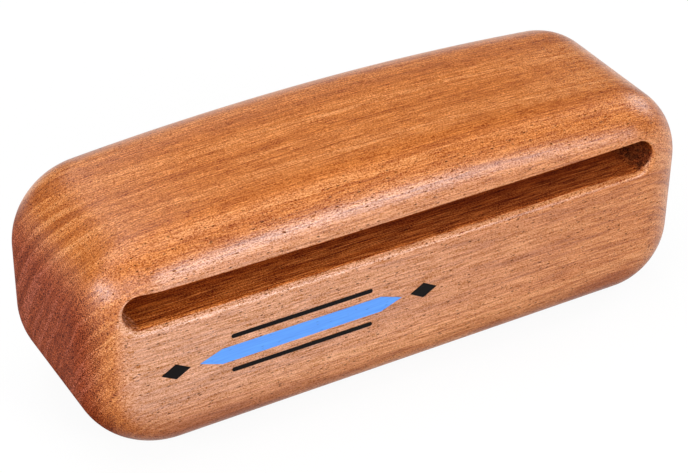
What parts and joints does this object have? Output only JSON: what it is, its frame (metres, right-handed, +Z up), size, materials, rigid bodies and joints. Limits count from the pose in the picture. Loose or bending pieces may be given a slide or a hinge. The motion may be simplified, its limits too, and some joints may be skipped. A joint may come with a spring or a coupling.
{
  "type": "woodblock",
  "caption": "Rounded hardwood percussion block with a crowned top bar, a deep round-ended sounding slot along the front and small painted marks below it.",
  "frame": {"origin": "middle of the bottom, where the block rests", "axes": "+X along the block, -Y out of the slotted front, +Z up"},
  "size_m": [0.203, 0.0692, 0.075],
  "materials": {
    "hardwood": "satin lacquer over straight-grained orange-brown hardwood",
    "blue_paint": "satin enamel paint",
    "black_paint": "satin enamel paint"
  },
  "bodies": {
    "root": {"block": "hardwood", "blue_band": "blue_paint", "upper_line": "black_paint", "lower_line": "black_paint", "left_lozenge": "black_paint", "right_lozenge": "black_paint"}
  },
  "joints": []
}
